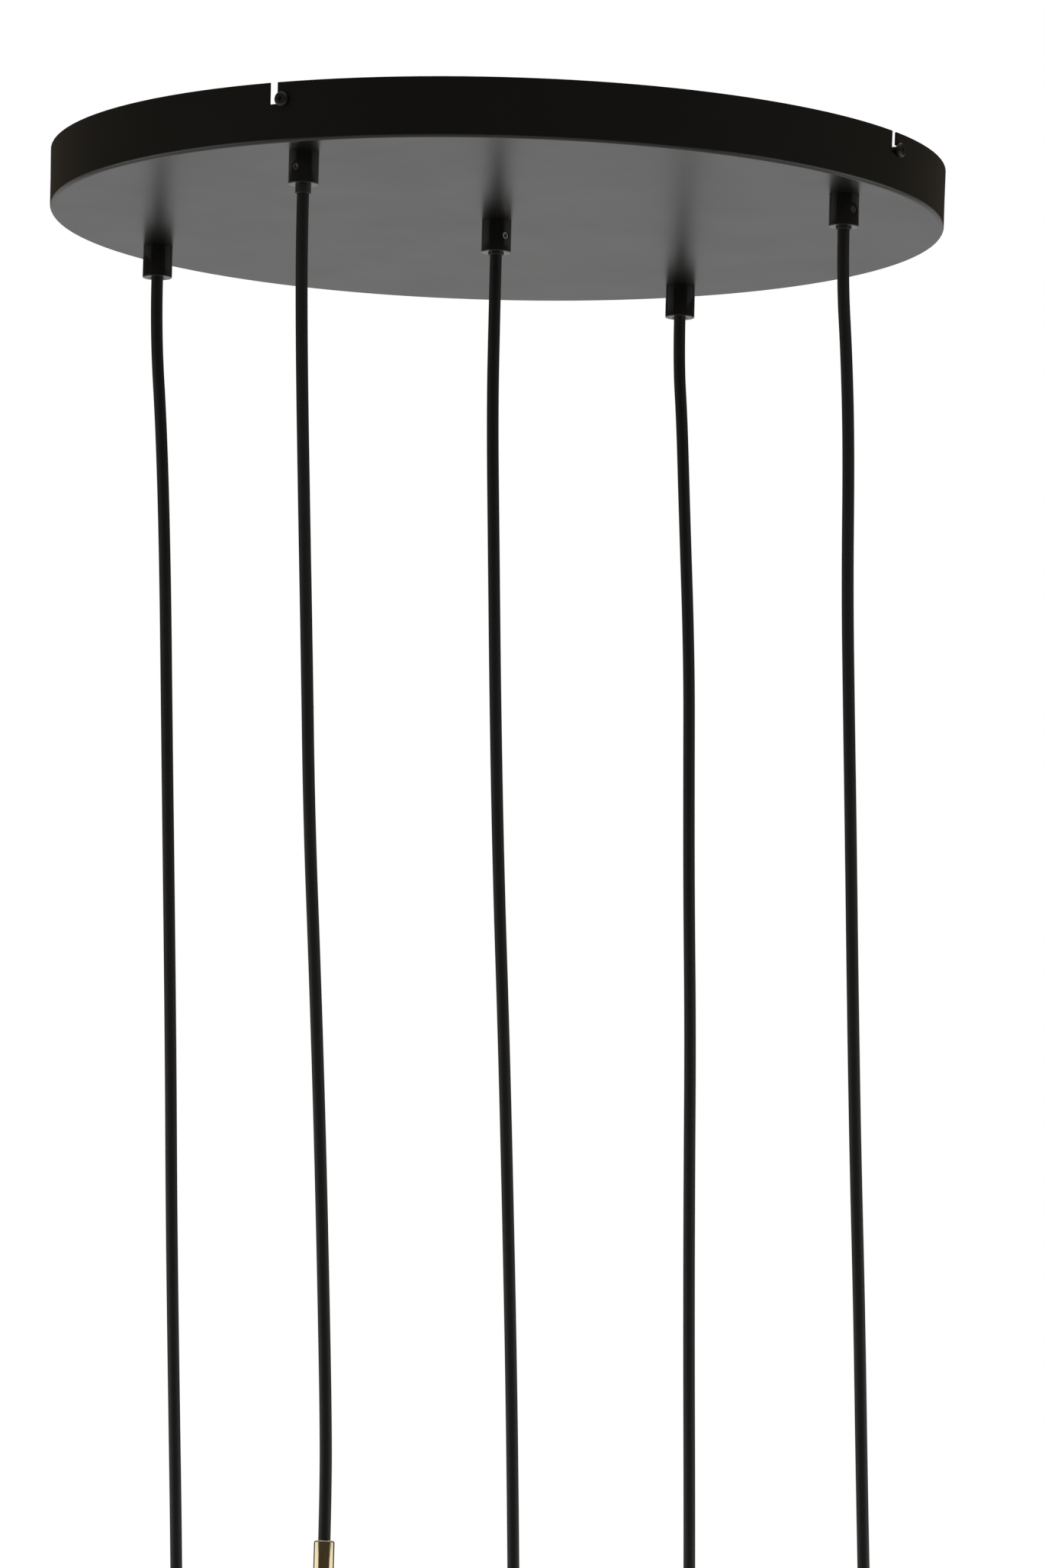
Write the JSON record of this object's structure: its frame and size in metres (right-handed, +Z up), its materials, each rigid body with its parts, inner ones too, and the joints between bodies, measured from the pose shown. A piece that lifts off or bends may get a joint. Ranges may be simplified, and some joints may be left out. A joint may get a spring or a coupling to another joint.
{
  "type": "cluster pendant",
  "caption": "Round black ceiling canopy with cord grips, from which long round cords hang, each ending in a brass stem with a screw lampholder for a bulb.",
  "frame": {"origin": "centre of the ceiling bracket's upper face, on the ceiling", "axes": "+Z up, the cords hang along -Z; -Y is the side the picture was taken from, +X its right"},
  "size_m": [0.452, 0.4508, 1.1234],
  "materials": {
    "black_canopy": "satin black",
    "black_grip": "smooth black",
    "black_screw": "blackened steel",
    "zinc_steel": "zinc-plated",
    "nickel": "nickel-plated",
    "brass_nut": "plain turned brass",
    "brass": "polished bronze-toned brass",
    "nickel_brass": "nickel-plated brass",
    "black_cord": "matt black sheath",
    "black_plastic": "moulded",
    "black_holder": "moulded thermoset",
    "white_plastic": "moulded",
    "clear_plastic": "milky translucent",
    "green_lead": "sheathed lead"
  },
  "bodies": {
    "bracket": {"ceiling_bracket": "zinc_steel", "side_screws": "black_screw"},
    "canopy": {"canopy_pan": "black_canopy", "cord_grip_1": "black_grip", "cord_grip_2": "black_grip", "cord_grip_3": "black_grip", "cord_grip_4": "black_grip", "cord_grip_5": "black_grip", "grip_bushes": "black_plastic", "set_screws": "nickel", "lock_washers": "zinc_steel", "lock_nuts": "brass_nut", "cord_tails": "black_cord", "mounting_strip": "zinc_steel", "wiring_box": "white_plastic", "wiring_lid": "white_plastic", "terminal_block": "clear_plastic", "terminal_screws": "nickel", "box_screws": "zinc_steel", "earth_lead": "green_lead"},
    "pendant_1_cord": {"cord_1": "black_cord"},
    "pendant_1_lamp": {"stem_tube_1": "brass", "stem_cord_1": "black_cord", "stem_collar_1": "brass", "socket_cup_1": "brass", "lampholder_1": "black_holder", "lamp_contacts_1": "nickel_brass", "shade_ring_1": "black_holder"},
    "pendant_2_cord": {"cord_2": "black_cord"},
    "pendant_2_lamp": {"stem_tube_2": "brass", "stem_cord_2": "black_cord", "stem_collar_2": "brass", "socket_cup_2": "brass", "lampholder_2": "black_holder", "lamp_contacts_2": "nickel_brass", "shade_ring_2": "black_holder"},
    "pendant_3_cord": {"cord_3": "black_cord"},
    "pendant_3_lamp": {"stem_tube_3": "brass", "stem_cord_3": "black_cord", "stem_collar_3": "brass", "socket_cup_3": "brass", "lampholder_3": "black_holder", "lamp_contacts_3": "nickel_brass", "shade_ring_3": "black_holder"},
    "pendant_4_cord": {"cord_4": "black_cord"},
    "pendant_4_lamp": {"stem_tube_4": "brass", "stem_cord_4": "black_cord", "stem_collar_4": "brass", "socket_cup_4": "brass", "lampholder_4": "black_holder", "lamp_contacts_4": "nickel_brass", "shade_ring_4": "black_holder"},
    "pendant_5_cord": {"cord_5": "black_cord"},
    "pendant_5_lamp": {"stem_tube_5": "brass", "stem_cord_5": "black_cord", "stem_collar_5": "brass", "socket_cup_5": "brass", "lampholder_5": "black_holder", "lamp_contacts_5": "nickel_brass", "shade_ring_5": "black_holder"}
  },
  "joints": [
    {"name": "canopy_twist", "type": "hinge", "parent": "bracket", "child": "canopy", "pos_m": [0, 0, 0], "axis": [0, 0, 1], "range_deg": [0, 1.27]},
    {"name": "pendant_1_swing", "type": "hinge", "parent": "canopy", "child": "pendant_1_cord", "pos_m": [-0.1723, 0.09551, -0.047], "axis": [1, 0, 0], "range_deg": [-4, 4]},
    {"name": "pendant_1_height", "type": "slide", "parent": "pendant_1_cord", "child": "pendant_1_lamp", "axis": [0, 0, 1], "range_m": [0, 0.25], "deforming": ["cord_1"]},
    {"name": "pendant_2_swing", "type": "hinge", "parent": "canopy", "child": "pendant_2_cord", "pos_m": [-0.09551, -0.1723, -0.0516], "axis": [1, 0, 0], "range_deg": [-4, 4]},
    {"name": "pendant_2_height", "type": "slide", "parent": "pendant_2_cord", "child": "pendant_2_lamp", "axis": [0, 0, 1], "range_m": [0, 0.25], "deforming": ["cord_2"]},
    {"name": "pendant_3_swing", "type": "hinge", "parent": "canopy", "child": "pendant_3_cord", "pos_m": [0, 0, -0.0484], "axis": [1, 0, 0], "range_deg": [-4, 4]},
    {"name": "pendant_3_height", "type": "slide", "parent": "pendant_3_cord", "child": "pendant_3_lamp", "axis": [0, 0, 1], "range_m": [0, 0.25], "deforming": ["cord_3"]},
    {"name": "pendant_4_swing", "type": "hinge", "parent": "canopy", "child": "pendant_4_cord", "pos_m": [0.09551, 0.1723, -0.047], "axis": [1, 0, 0], "range_deg": [-4, 4]},
    {"name": "pendant_4_height", "type": "slide", "parent": "pendant_4_cord", "child": "pendant_4_lamp", "axis": [0, 0, 1], "range_m": [0, 0.25], "deforming": ["cord_4"]},
    {"name": "pendant_5_swing", "type": "hinge", "parent": "canopy", "child": "pendant_5_cord", "pos_m": [0.1723, -0.09551, -0.0484], "axis": [1, 0, 0], "range_deg": [-4, 4]},
    {"name": "pendant_5_height", "type": "slide", "parent": "pendant_5_cord", "child": "pendant_5_lamp", "axis": [0, 0, 1], "range_m": [0, 0.25], "deforming": ["cord_5"]}
  ]
}
